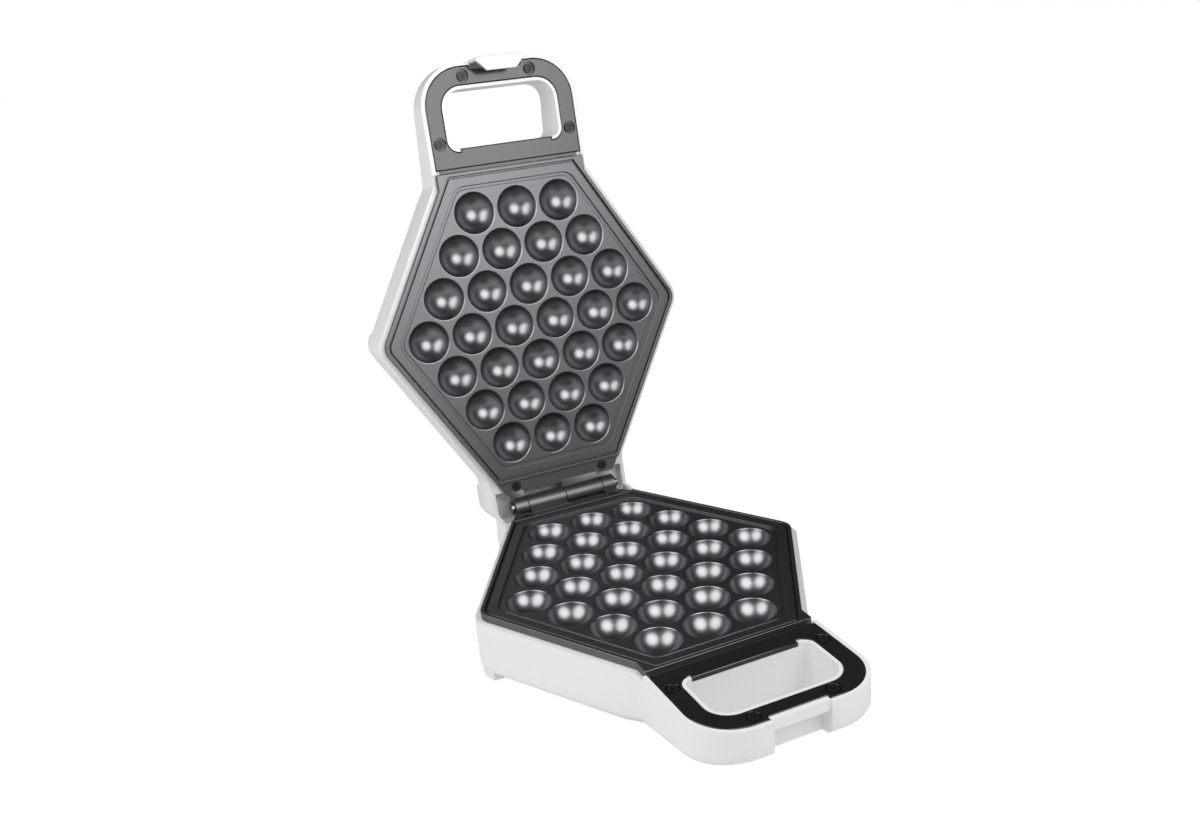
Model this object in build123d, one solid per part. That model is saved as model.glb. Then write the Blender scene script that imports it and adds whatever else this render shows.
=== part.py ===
from build123d import *
import math
import os

os.makedirs("parts", exist_ok=True)

# Bubble waffle maker: two hexagonal half shells with looped handles, two cast plates with round cups,
# a barrel hinge at the back and a latch clip at the front. Millimetres, +Z up, +Y towards the hinge,
# -Y towards the handles. The origin is the centre of the base shell's flat underside. Both halves are
# modelled lying open side up; the lid's pieces are then turned over and swung open about the hinge.

COS30 = math.cos(math.radians(30))
SIN30 = math.sin(math.radians(30))

# Cup pattern
cup_pitch = 30.0
cup_rim_radius = 13.6
cup_depth = 10.5
cup_wall = 3.0
cup_rim_fillet = 0.8
row_counts = (3, 4, 5, 6, 5, 4, 3)

# Plate casting: bands from the cups outwards, then heights from its seat upwards
field_margin = 2.1
bead_width = 2.2
plateau_width = 5.6
groove_width = 1.4
lip_width = 2.15
flange_thickness = 2.8
slab_depth = 3.2
bead_depth = 0.6
plateau_height = 1.0
groove_depth = 2.0
lip_height = 1.8
lip_gap = 0.4
bead_corner = 10.0
plate_side_corner = 11.0
plate_small_corner = 1.5
plate_rear_corner = 3.0
plate_rear_reach = 9.0

# Shell
wall = 2.5
body_height = 35.2
rim_margin = 3.5
rim_step = 2.3
side_corner = 14.0
shoulder_corner = 6.0
rear_corner = 9.0
bottom_fillet = 8.0
rear_half_width = 50.0
ledge_reach = 2.0
ledge_thickness = 2.0
slab_clearance = 0.6

# Handle
handle_half_width = 53.8
handle_reach = 68.9
handle_corner = 28.6
handle_rise = 2.7
handle_slope_run_in = 13.8
handle_tip_height = 17.5
barrier_thickness = 3.6
barrier_gap = 0.4
tunnel_wall = 2.0
tunnel_clearance = 0.2

# Handle trim
trim_thickness = 2.0
trim_proud = 0.4
trim_margin = 2.6
trim_gap = 2.4
trim_rear_band = 10.3
trim_front_band = 12.1
trim_side_band = 10.9
opening_rear_corner = 8.0
opening_front_corner = 14.0
notch_depth = 2.8
notch_clearance = 0.5
tongue_thickness = 0.8
skirt_end_gap = 0.3
skirt_thickness = 1.6
skirt_drop = 2.6

# Feet
foot_height = 3.0
pad_proud = 0.8
pad_thickness = 2.0
pad_radius = 5.5
corner_foot_length = 18.3
corner_foot_half_width = 8.5
corner_foot_inset = 1.2
corner_foot_rise = 12.0
rear_foot_width = 14.0
rear_foot_length = 22.0
rear_foot_inset = 0.8
foot_fillet = 1.5

# Hinge
hinge_setback = 18.0
rear_overhang = 11.0
knuckle_radius = 6.5
long_knuckle = 27.25
short_knuckle = 9.5
knuckle_gap = 0.5
web_thickness = 3.3
pin_radius = 2.5
pin_head_radius = 4.2
pin_head_thickness = 2.0
pin_end_gap = 0.3
pin_tail = 2.0
clip_thickness = 1.0
clip_radius = 4.6
clip_groove = 0.45
base_bore_clearance = 0.02
lid_bore_clearance = 0.05
lid_open_angle = 99.6
lid_stop_gap = 0.3
well_depth = 8.2
well_setback = 2.0

# Latch
latch_half_width = 16.5
latch_side_clearance = 0.5
latch_thickness = 2.2
latch_back_gap = 0.2
latch_ledge_setback = 1.9
latch_ledge_height = 6.2
latch_hook_height = 2.7
latch_hook_gap = 0.3
latch_hook_reach = 6.7
latch_hook_flat = 10.0
latch_pivot_rise = 12.5
latch_pivot_setback = 5.6
latch_boss_radius = 3.2
latch_top_rise = 1.5
latch_corner = 1.0
latch_pin_radius = 1.5
latch_bore_clearance = 0.06
latch_swing_room = 5.5
pocket_depth = 10.0
pocket_wall = 2.0

# Heating
element_radius = 3.3
element_clearance = 1.2
element_corner = 14.0
element_gap_half = 20.0
element_tail = 7.0
terminal_radius = 1.5
terminal_length = 3.5
clamp_thickness = 0.8
clamp_width = 8.0
clamp_fit = 0.05
shield_thickness = 0.6
shield_floor_gap = 1.9
shield_rim_gap = 0.2
shield_rim_width = 11.0
shield_edge_gap = 1.4
shield_corner = 6.0
shield_notch_half = 18.0
stud_radius = 3.2

# Fasteners
screw_radius = 1.5
screw_clearance = 0.05
screw_head_radius = 3.2
screw_head_height = 1.1
screw_recess_clearance = 0.8
screw_recess_depth = 1.2
slot_width = 0.8
slot_length = 3.6
slot_depth = 0.6
boss_radius = 4.0
trim_screw_length = 9.0
plate_screw_length = 10.0
plate_head_radius = 2.8
plate_head_height = 1.2
tab_boss_proud = 0.5
tab_post_radius = 3.9
tab_screw_grip = 5.0
shield_screw_length = 4.0
trim_front_screw_x = 23.2
trim_side_screw_edge = 5.7
trim_front_screw_inset = 8.9
trim_side_screw_inset = 49.9
rear_screw_x = 32.5
rear_screw_inset = 4.8
tab_screw_edge = 4.7
tab_screw_inset = 5.5

# Electrical pieces
gland_x = -25.0
gland_radius = 6.0
gland_flange_radius = 7.5
gland_flange_thickness = 2.0
gland_nut_thickness = 3.0
gland_bore_radius = 3.6
gland_bore_depth = 5.0
lamp_spacing = 24.0
lamp_y = -60.0
lens_radius = 3.4
lens_proud = 0.6
lens_flange_radius = 5.0
lens_flange_thickness = 1.2
lamp_radius = 2.5
lamp_length = 8.0
lamp_gap = 0.2
holder_height = 6.0
holder_margin = 8.0
holder_depth = 12.0
holder_post = 4.0
thermostat_radius = 7.5
thermostat_height = 6.0
fuse_radius = 2.2
fuse_length = 16.0
strap_width = 5.0
strap_thickness = 0.6
block_length = 26.0
block_width = 14.0
block_height = 9.0
block_screw_pitch = 8.0

# Places worked out from the sizes above
row_pitch = cup_pitch * COS30
half_rows = len(row_counts) // 2
cup_centres = [
    ((place - (count - 1) / 2) * cup_pitch, (row - half_rows) * row_pitch)
    for row, count in enumerate(row_counts)
    for place in range(count)
]
slant_centre = (max(row_counts) - 1) / 2 * cup_pitch * COS30
flat_centre = half_rows * row_pitch
slant_reach = slant_centre + cup_rim_radius
flat_reach = flat_centre + cup_rim_radius
bands = [field_margin, bead_width, plateau_width, groove_width, lip_width]
field_out, bead_out, plateau_out, groove_out, lip_out = [sum(bands[: n + 1]) for n in range(len(bands))]
plate_slant = slant_reach + lip_out
plate_flat = flat_reach + lip_out
shell_slant = plate_slant + rim_margin
plate_front_half = handle_half_width - rim_step
plate_ear_y = (plate_slant - plate_front_half * COS30) / SIN30
plate_ear_corner = min(plate_small_corner, (plate_flat - plate_ear_y) / 4)
plate_rear = plate_flat + plate_rear_reach
hinge_y = plate_flat + hinge_setback
shell_rear = hinge_y + rear_overhang
shell_front = plate_flat + handle_reach
handle_slope_start = (shell_slant - handle_half_width * COS30) / SIN30 - handle_slope_run_in

floor_z = 0.0
rim_z = floor_z + body_height
field_z = rim_z + flange_thickness
slab_z = rim_z - slab_depth
lip_z = field_z + lip_height
mid_z = lip_z + lip_gap / 2
handle_z = rim_z + handle_rise
trim_top_z = handle_z + trim_proud
trim_z = trim_top_z - trim_thickness
cup_radius = (cup_rim_radius**2 + cup_depth**2) / (2 * cup_depth)
cup_centre_z = field_z + cup_radius - cup_depth
dome_radius = cup_radius + cup_wall
dome_bottom_z = cup_centre_z - dome_radius
dome_foot = math.sqrt(dome_radius**2 - (cup_centre_z - slab_z) ** 2)

trim_rear = plate_flat + trim_gap
trim_front = shell_front - trim_margin
trim_half_width = handle_half_width - trim_margin
opening_rear = trim_rear + trim_rear_band
opening_front = trim_front - trim_front_band
opening_half_width = trim_half_width - trim_side_band
skirt_half_width = opening_half_width - opening_rear_corner - skirt_end_gap
barrier_y = plate_flat + barrier_gap
pocket_half_width = latch_half_width + latch_side_clearance
notch_half_width = pocket_half_width + notch_clearance
pocket_back = shell_front - pocket_depth
trim_screw_places = [
    (side * x, y)
    for side in (-1, 1)
    for x, y in (
        (trim_front_screw_x, -(shell_front - trim_front_screw_inset)),
        (trim_half_width - trim_side_screw_edge, -(shell_front - trim_side_screw_inset)),
    )
]
rear_screw_places = [(side * rear_screw_x, plate_rear - rear_screw_inset) for side in (-1, 1)]
tab_screw_x = plate_front_half - tab_screw_edge
tab_screw_places = [(side * tab_screw_x, -(plate_flat - tab_screw_inset)) for side in (-1, 1)]
hollow = cup_pitch / math.sqrt(3)
stud_places = [
    (0, -(flat_centre - hollow)),
    (0, flat_centre - hollow),
    (-2 * cup_pitch, hollow / 2),
    (2 * cup_pitch, hollow / 2),
]

ledge_face_y = shell_front - latch_ledge_setback
latch_back_y = ledge_face_y + latch_back_gap
ledge_bottom_z = handle_z - latch_ledge_height
hook_top_z = ledge_bottom_z - latch_hook_gap
hook_bottom_z = hook_top_z - latch_hook_height
pivot_y = shell_front - latch_pivot_setback
pivot_z = mid_z + latch_pivot_rise

tab_boss_z = slab_z - tab_boss_proud
element_z = slab_z - element_radius
element_slant = slant_centre + dome_foot + element_clearance + element_radius
element_flat = flat_centre + dome_foot + element_clearance + element_radius
shield_floor_z = dome_bottom_z - shield_floor_gap
shield_rim_z = slab_z - 2 * element_radius - clamp_thickness - shield_rim_gap
stud_bottom_z = shield_floor_z
gland_z = floor_z + bottom_fillet + gland_flange_radius


# Outlines
def mirrored_face(points, radii):
    """Closed face from the points of its right half, listed from the front to the back."""
    left = [(-x, y) for x, y in reversed(points)]
    return make_face(FilletPolyline(*points, *left, radius=radii + radii[::-1], close=True))


def hexagon(slant, flat, side_radius=0.0, end_radius=0.0):
    corner_x = (slant - flat * SIN30) / COS30
    points = [(corner_x, -flat), (slant / COS30, 0), (corner_x, flat)]
    return mirrored_face(points, [end_radius, side_radius, end_radius])


def band_hexagon(out, side_radius=0.0, end_radius=0.0):
    """Hexagon round the cup pattern, a given distance outside the cup rims."""
    return hexagon(slant_reach + out, flat_reach + out, side_radius, end_radius)


def shell_outline(inset):
    slant = shell_slant - inset
    side = handle_half_width - inset
    rear = rear_half_width - inset
    points = [
        (side, -(shell_front - inset)),
        (side, -(slant - side * COS30) / SIN30),
        (slant / COS30, 0),
        (rear, (slant - rear * COS30) / SIN30),
        (rear, shell_rear - inset),
    ]
    radii = [
        handle_corner - inset,
        shoulder_corner + inset,
        side_corner - inset,
        rear_corner + inset,
        rear_corner - inset,
    ]
    return mirrored_face(points, radii)


def plate_outline():
    points = [
        (plate_front_half, -plate_flat),
        (plate_front_half, -plate_ear_y),
        (plate_slant / COS30, 0),
        ((plate_slant - plate_rear * SIN30) / COS30, plate_rear),
    ]
    radii = [plate_ear_corner, plate_ear_corner, plate_side_corner, plate_rear_corner]
    return mirrored_face(points, radii)


def opening_outline(inset):
    side = opening_half_width - inset
    points = [(side, -(opening_front - inset)), (side, -(opening_rear + inset))]
    return mirrored_face(points, [opening_front_corner - inset, opening_rear_corner - inset])


def slab(face, bottom, top):
    return Pos(0, 0, bottom) * extrude(face, amount=top - bottom)


def block(x_range, y_range, z_range):
    (x0, x1), (y0, y1), (z0, z1) = x_range, y_range, z_range
    return Pos((x0 + x1) / 2, (y0 + y1) / 2, (z0 + z1) / 2) * Box(x1 - x0, y1 - y0, z1 - z0)


def post(place, radius, bottom, top):
    return Pos(place[0], place[1], (bottom + top) / 2) * Cylinder(radius, top - bottom)


def rod_x(radius, x_range, y, z):
    x0, x1 = x_range
    return Pos((x0 + x1) / 2, y, z) * Rot(0, 90, 0) * Cylinder(radius, x1 - x0)


# Fasteners
def cross_screw(place, head_z, length, head_radius=screw_head_radius, head_height=screw_head_height):
    """Pan head screw pointing down, with the underside of its head at head_z."""
    screw = post(place, screw_radius, head_z - length, head_z)
    screw += post(place, head_radius, head_z, head_z + head_height)
    for turn in (0, 90):
        slot = Box(slot_length, slot_width, slot_depth)
        screw -= Pos(*place, head_z + head_height - slot_depth / 2) * Rot(0, 0, turn) * slot
    return screw


def cross_screw_up(place, head_z, length, head_radius=screw_head_radius):
    """The same screw pointing up, with the top of its head at head_z."""
    screw = cross_screw((0, 0), 0, length, head_radius)
    return Pos(*place, head_z) * Rot(180, 0, 0) * screw


def screw_hole(place, bottom, top):
    return post(place, screw_radius + screw_clearance, bottom, top)


# Shell
def tray(inset, bottom):
    """Solid of the shell's outline, with the handle's sloped underside and a rounded bottom edge."""
    body = slab(shell_outline(inset), bottom, handle_z)
    run = shell_front - handle_slope_start
    slope = handle_tip_height / run
    start, end = -handle_slope_start, -(shell_front + wall)
    drop = handle_tip_height
    under = [
        (0, start, bottom),
        (0, end, bottom + slope * (start - end)),
        (0, end, bottom - drop),
        (0, start, bottom - drop),
    ]
    side_reach = shell_slant * 2
    body -= extrude(make_face(Polyline(*under, close=True)), amount=side_reach, both=True, dir=(1, 0, 0))

    def is_bottom(edge):
        low = edge.bounding_box().max.Z < bottom + handle_tip_height + wall
        crease = abs(edge.center().Y - start) < 0.01 and abs(edge.tangent_at(0.5).X) > 0.99
        return low and not crease

    return fillet([e for e in body.edges() if is_bottom(e)], bottom_fillet - inset)


def feet(pad_seats):
    bottom = floor_z - foot_height + (pad_proud if pad_seats else 0)
    pads = foot_pad_places()
    corner = block(
        (corner_foot_inner_x(), shell_slant * 2),
        (-corner_foot_half_width, corner_foot_half_width),
        (bottom, floor_z + corner_foot_rise),
    )
    corner &= slab(shell_outline(corner_foot_inset), bottom, handle_z)
    rear = block(
        (rear_half_width - rear_foot_width, rear_half_width),
        (shell_rear - rear_foot_length, shell_rear),
        (bottom, floor_z + corner_foot_rise),
    )
    rear &= slab(shell_outline(rear_foot_inset), bottom, handle_z)
    result = []
    for foot in (corner, rear):
        foot = fillet(foot.edges().group_by(Axis.Z)[0], foot_fillet)
        result += [foot, mirror(foot, Plane.YZ)]
    whole = Part() + result
    if pad_seats:
        seat_top = floor_z - foot_height + pad_thickness
        whole -= [post(place, pad_radius, bottom, seat_top) for place in pads]
    return whole


def corner_foot_inner_x():
    return shell_slant / COS30 - corner_foot_length


def foot_pad_places():
    corner_x = (corner_foot_inner_x() + shell_slant / COS30) / 2 - foot_fillet
    rear_x = rear_half_width - rear_foot_width / 2
    rear_y = shell_rear - rear_foot_length / 2
    return [(side * x, y) for side in (-1, 1) for x, y in ((corner_x, 0), (rear_x, rear_y))]


def shell(pad_seats):
    """Half shell common to the base and the lid, without its pocket, cuts or lamp holes."""
    outside = tray(0, floor_z)
    inside_half = rear_half_width - wall
    cavity = tray(wall, floor_z + wall)
    ledge_slant = plate_slant - ledge_reach
    ledge_flat = plate_flat - ledge_reach
    ledge_bottom = rim_z - ledge_thickness
    well_front = plate_rear - well_setback - wall
    well_top = rim_z - well_depth

    ribs = slab(shell_outline(0), ledge_bottom, rim_z) - slab(
        hexagon(ledge_slant, ledge_flat), ledge_bottom, rim_z
    )
    ribs &= block(
        (-2 * shell_slant, 2 * shell_slant), (-barrier_y, well_front + wall), (ledge_bottom, rim_z)
    )
    ribs += block(
        (-handle_half_width, handle_half_width),
        (-(barrier_y + barrier_thickness), -barrier_y),
        (floor_z, trim_z - barrier_gap / 2),
    )
    ribs += block((-inside_half, inside_half), (well_front, well_front + wall), (well_top - wall, rim_z))
    ribs += block((-inside_half, inside_half), (well_front, shell_rear - wall), (well_top - wall, well_top))
    ribs += slab(opening_outline(tunnel_clearance), floor_z, handle_z)
    ribs -= block(
        (-skirt_half_width - barrier_gap, skirt_half_width + barrier_gap),
        (-(opening_rear + tunnel_clearance + tunnel_wall + barrier_gap), -opening_rear),
        (trim_top_z - skirt_drop - barrier_gap, trim_top_z),
    )
    ribs += [post(place, boss_radius, floor_z, trim_z) for place in trim_screw_places]
    ribs += [post(place, boss_radius, floor_z, rim_z) for place in rear_screw_places]
    ribs += [post(place, tab_post_radius, floor_z, tab_boss_z) for place in tab_screw_places]
    ribs &= outside

    # the two slabs below take off what stands above the body's rim and above the handle's barrier
    result = outside + feet(pad_seats) - cavity + ribs
    result -= block(
        (-2 * shell_slant, 2 * shell_slant),
        (-barrier_y, 2 * shell_slant),
        (rim_z, trim_top_z),
    )
    result -= slab(opening_outline(tunnel_clearance + tunnel_wall), floor_z - foot_height, trim_top_z)
    result -= [screw_hole(place, trim_z - trim_screw_length, trim_z) for place in trim_screw_places]
    result -= [screw_hole(place, rim_z - plate_screw_length, rim_z) for place in rear_screw_places]
    result -= [screw_hole(place, floor_z, rim_z) for place in tab_screw_places]
    tab_room = tab_post_radius + slab_clearance
    result -= [post(place, tab_room, tab_boss_z, rim_z) for place in tab_screw_places]
    tab_head = screw_head_radius + screw_clearance
    for place in tab_screw_places:
        result -= post(place, tab_head, floor_z - foot_height, tab_head_z(place))
    return result


def tab_head_z(place):
    """Level where the head of the long screw bears, inside its post above the sloped underside."""
    slope = handle_tip_height / (shell_front - handle_slope_start)
    return floor_z + wall + screw_head_height + slope * (-place[1] - handle_slope_start)


def latch_ledge():
    """Thick front edge of the base's handle, which the hook catches under, and the pocket's walls."""
    front = -ledge_face_y
    inside = -(trim_front - notch_depth) - tunnel_clearance
    ledge = block((-pocket_half_width, pocket_half_width), (front, inside), (ledge_bottom_z, handle_z))
    outer = pocket_half_width + pocket_wall
    walls_y = (front, -pocket_back + pocket_wall)
    walls = block((-outer, outer), walls_y, (floor_z, ledge_bottom_z + pocket_wall))
    walls &= tray(0, floor_z)
    return ledge + walls


def base_shell():
    body = shell(True)
    front = -(shell_front + wall)
    half = pocket_half_width
    body -= block((-half, half), (front, -ledge_face_y), (ledge_bottom_z, trim_top_z))
    body += latch_ledge()
    body -= block((-half, half), (front, -pocket_back), (floor_z, ledge_bottom_z))
    body -= Pos(gland_x, shell_rear - wall / 2, gland_z) * Rot(90, 0, 0) * Cylinder(gland_radius, 3 * wall)
    return body - lid_swing_room()


def lid_swing_room():
    """The rear of the open lid, which the base's rear walls end short of."""
    lid_rear = block(
        (-rear_half_width - rear_overhang, rear_half_width + rear_overhang),
        (plate_flat, shell_rear + lid_stop_gap),
        (2 * mid_z - rim_z - lid_stop_gap, 2 * mid_z + rim_z),
    )
    return swing_open(lid_rear)


def lid_shell():
    body = shell(False)
    front = -(shell_front + wall)
    bottom = 2 * mid_z - pivot_z - latch_swing_room
    outer = pocket_half_width + pocket_wall
    walls = block(
        (-outer, outer), (-shell_front, -pocket_back + pocket_wall), (bottom - pocket_wall, trim_z)
    )
    body += walls & tray(0, floor_z)
    body -= block((-pocket_half_width, pocket_half_width), (front, -pocket_back), (bottom, trim_top_z))
    bore = latch_pin_radius + base_bore_clearance
    body -= rod_x(bore, (-outer, outer), -pivot_y, 2 * mid_z - pivot_z)
    for x in lamp_places():
        body -= post((x, lamp_y), lens_radius + screw_clearance, floor_z, floor_z + wall)
    return body


# Handle trim
def handle_trim():
    half = trim_half_width
    points = [(half, -trim_front), (half, -trim_rear)]
    face = mirrored_face(points, [handle_corner - trim_margin, plate_small_corner])
    trim = slab(face, trim_z, trim_top_z) - slab(opening_outline(0), trim_z, trim_top_z)
    notch_y = trim_front - notch_depth
    trim -= block((-notch_half_width, notch_half_width), (-trim_front, -notch_y), (trim_z, trim_top_z))
    tongue_y = (-(trim_rear + trim_gap), -(plate_flat + barrier_gap))
    tongue_half = half - 2 * plate_small_corner
    trim += block((-tongue_half, tongue_half), tongue_y, (trim_z, trim_z + tongue_thickness))
    skirt_y = opening_rear + tunnel_clearance + tunnel_wall
    skirt_x = (-skirt_half_width, skirt_half_width)
    trim += block(skirt_x, (-skirt_y, -opening_rear), (trim_z, trim_top_z))
    skirt_range = (-skirt_y, -skirt_y + skirt_thickness)
    trim += block(skirt_x, skirt_range, (trim_top_z - skirt_drop, trim_top_z))
    for place in trim_screw_places:
        recess = screw_head_radius + screw_recess_clearance
        trim -= post(place, recess, trim_top_z - screw_recess_depth, trim_top_z)
        trim -= screw_hole(place, trim_z, trim_top_z)
    return trim


def trim_screws():
    head_z = trim_top_z - screw_recess_depth
    return [cross_screw(place, head_z, trim_screw_length) for place in trim_screw_places]


# Plate casting
def plate():
    body = slab(plate_outline(), rim_z, lip_z)
    far = 2 * shell_slant
    body -= block((-far, far), (plate_flat, far), (field_z, lip_z))
    plateau_z = field_z + plateau_height
    groove_z = plateau_z - groove_depth
    side = plate_side_corner
    body -= slab(band_hexagon(groove_out, side - lip_width), groove_z, lip_z)
    body += slab(band_hexagon(plateau_out, side - lip_width - groove_width), rim_z, plateau_z)
    body -= slab(band_hexagon(bead_out, bead_corner, bead_corner), field_z - bead_depth, plateau_z)
    field_corner = bead_corner - bead_width
    body += slab(band_hexagon(field_out, field_corner, field_corner), rim_z, field_z)
    slab_edge = ledge_reach + slab_clearance
    body += slab(hexagon(plate_slant - slab_edge, plate_flat - slab_edge, side), slab_z, rim_z)

    dome = Sphere(dome_radius) & block(
        (-dome_radius, dome_radius), (-dome_radius, dome_radius), (-dome_radius, slab_z - cup_centre_z)
    )
    body += [Pos(x, y, cup_centre_z) * dome for x, y in cup_centres]
    body += [post(place, stud_radius, stud_bottom_z, slab_z) for place in stud_places]
    body += [post(place, tab_post_radius, tab_boss_z, rim_z) for place in tab_screw_places]
    body -= [Pos(x, y, cup_centre_z) * Sphere(cup_radius) for x, y in cup_centres]

    def is_cup_rim(edge):
        flat = abs(edge.center().Z - field_z) < 0.01
        return flat and abs(edge.radius - cup_rim_radius) < 0.01

    circles = body.edges().filter_by(GeomType.CIRCLE)
    body = fillet([e for e in circles if is_cup_rim(e)], cup_rim_fillet)

    for place in stud_places:
        body -= screw_hole(place, stud_bottom_z, slab_z + flange_thickness)
    for place in rear_screw_places:
        body -= screw_hole(place, rim_z, field_z)
        head = plate_head_radius + screw_recess_clearance
        body -= post(place, head, field_z - plate_head_height - screw_clearance, field_z)
    for place in tab_screw_places:
        body -= screw_hole(place, tab_boss_z, field_z)
    return body


def knuckle(x_range, bore):
    web_y = (plate_rear - plate_small_corner, hinge_y)
    body = rod_x(knuckle_radius, x_range, hinge_y, mid_z)
    body += block(x_range, web_y, (rim_z, rim_z + web_thickness))
    return body - rod_x(bore, x_range, hinge_y, mid_z)


def plate_with_hinge(bore_clearance):
    """Plate with a long knuckle left of the middle and a short one at the right end."""
    long_x = (-knuckle_gap / 2 - long_knuckle, -knuckle_gap / 2)
    short_start = -long_x[0] + knuckle_gap
    short_x = (short_start, short_start + short_knuckle)
    bore = pin_radius + bore_clearance
    return plate() + knuckle(long_x, bore) + knuckle(short_x, bore)


# Hinge pin
def pin_ends():
    end = knuckle_gap / 2 + long_knuckle + knuckle_gap + short_knuckle
    return end + pin_end_gap


def hinge_pin():
    end = pin_ends()
    pin = rod_x(pin_radius, (-end, end + clip_thickness + pin_tail), hinge_y, mid_z)
    pin += rod_x(pin_head_radius, (-end - pin_head_thickness, -end), hinge_y, mid_z)
    groove = rod_x(pin_radius + wall, (end, end + clip_thickness), hinge_y, mid_z)
    groove -= rod_x(pin_radius - clip_groove, (end, end + clip_thickness), hinge_y, mid_z)
    return pin - groove


def hinge_pin_clip():
    end = pin_ends()
    inner = pin_radius - clip_groove
    clip_x = (end, end + clip_thickness)
    clip = rod_x(clip_radius, clip_x, hinge_y, mid_z) - rod_x(inner, clip_x, hinge_y, mid_z)
    mouth = inner * COS30
    return clip - block(clip_x, (hinge_y - mouth, hinge_y + mouth), (mid_z - clip_radius, mid_z))


# Latch, in its closed place
def latch():
    half = latch_half_width
    back = -latch_back_y
    outside = back - latch_thickness
    plate_z = (hook_bottom_z, pivot_z + latch_top_rise)
    body = block((-half, half), (outside, back), plate_z)
    body = fillet(body.edges().filter_by(Axis.Z), latch_corner)
    body = body + block((-half, half), (back - latch_corner, back), plate_z)
    tip = back + latch_hook_reach
    flat = latch_hook_flat
    hook = Polyline((-half, back), (-flat, tip), (flat, tip), (half, back), close=True)
    body += slab(make_face(hook), hook_bottom_z, hook_top_z)
    boss_x = (-half, half)
    body += rod_x(latch_boss_radius, boss_x, -pivot_y, pivot_z)
    body += block(boss_x, (back, -pivot_y), (pivot_z - latch_boss_radius, pivot_z + latch_top_rise))
    return body - rod_x(latch_pin_radius + latch_bore_clearance, boss_x, -pivot_y, pivot_z)


def latch_pin():
    outer = pocket_half_width + pocket_wall
    return rod_x(latch_pin_radius, (-outer, outer), -pivot_y, pivot_z)


# Heating
def heating_element():
    corner_x = (element_slant - element_flat * SIN30) / COS30
    half = [
        (element_gap_half, element_flat + element_tail),
        (element_gap_half, element_flat),
        (corner_x, element_flat),
        (element_slant / COS30, 0),
        (corner_x, -element_flat),
    ]
    points = half + [(-x, y) for x, y in reversed(half)]
    bends = [element_tail * COS30] + [element_corner] * 3
    path = FilletPolyline(*points, radius=bends + bends[::-1])
    start = Plane(origin=(element_gap_half, element_flat + element_tail, 0), z_dir=(0, -1, 0))
    return Pos(0, 0, element_z) * sweep(start * Circle(element_radius), path)


def element_terminals():
    tail = element_flat + element_tail
    pin = Rot(-90, 0, 0) * Cylinder(terminal_radius, terminal_length)
    y = tail + terminal_length / 2
    return [Pos(side * element_gap_half, y, element_z) * pin for side in (-1, 1)]


def element_clamps():
    """Four steel straps that hold the element up against the plate, one on each slanted side."""
    reach = element_radius + clamp_thickness
    strap = block((-reach, reach), (-clamp_width / 2, clamp_width / 2), (-reach, element_radius))
    groove = Rot(90, 0, 0) * Cylinder(element_radius + clamp_fit, clamp_width)
    inner = element_radius + clamp_fit
    groove += block((-inner, inner), (-clamp_width / 2, clamp_width / 2), (0, element_radius))
    strap -= groove
    return [Rot(0, 0, turn) * Pos(element_slant, 0, element_z) * strap for turn in (30, 150, 210, 330)]


def heat_shield():
    edge = ledge_reach + shield_edge_gap
    outer_slant = plate_slant - edge
    outer_flat = plate_flat - edge
    inner_slant = outer_slant - shield_rim_width
    inner_flat = outer_flat - shield_rim_width
    rim_bottom = shield_rim_z - shield_thickness
    floor_bottom = shield_floor_z - shield_thickness
    corner = shield_corner
    tub = slab(hexagon(inner_slant, inner_flat, corner, corner), floor_bottom, shield_rim_z)
    hollow_slant = inner_slant - shield_thickness
    hollow_flat = inner_flat - shield_thickness
    inner_corner = corner - shield_thickness
    rim = slab(hexagon(outer_slant, outer_flat, side_corner, corner), rim_bottom, shield_rim_z)
    shield = rim + tub
    shield -= slab(
        hexagon(hollow_slant, hollow_flat, inner_corner, inner_corner), shield_floor_z, shield_rim_z
    )
    notch_half = shield_notch_half
    shield -= block((-notch_half, notch_half), (inner_flat, plate_flat), (floor_bottom, shield_rim_z))
    for place in tab_screw_places:
        shield -= post(place, tab_post_radius + slab_clearance, rim_bottom, shield_rim_z)
    for place in stud_places:
        shield -= screw_hole(place, floor_bottom, shield_floor_z)
    return shield


def shield_screws():
    head_z = shield_floor_z - shield_thickness
    return [cross_screw_up(place, head_z, shield_screw_length) for place in stud_places]


# Plate fixings
def plate_screws():
    """Two screws by the hinge from above, and two long ones up through the front posts."""
    head_z = field_z - plate_head_height - screw_clearance
    sizes = {"head_radius": plate_head_radius, "head_height": plate_head_height}
    screws = [cross_screw(place, head_z, plate_screw_length - wall, **sizes) for place in rear_screw_places]
    for place in tab_screw_places:
        bearing = tab_head_z(place)
        length = tab_boss_z + tab_screw_grip - bearing
        screws.append(cross_screw_up(place, bearing, length))
    return screws


# Electrical pieces
def lamp_places():
    return [-lamp_spacing / 2, lamp_spacing / 2]


def lamp_lens(x):
    lens = post((x, lamp_y), lens_radius, floor_z - lens_proud, floor_z + wall)
    lens += post((x, lamp_y), lens_flange_radius, floor_z + wall, floor_z + wall + lens_flange_thickness)
    return fillet(lens.edges().group_by(Axis.Z)[0], lens_proud / 2)


def lamp_bottom_z():
    return floor_z + wall + lens_flange_thickness + lamp_gap


def indicator_lamps():
    bottom = lamp_bottom_z()
    return [post((x, lamp_y), lamp_radius, bottom, bottom + lamp_length) for x in lamp_places()]


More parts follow.
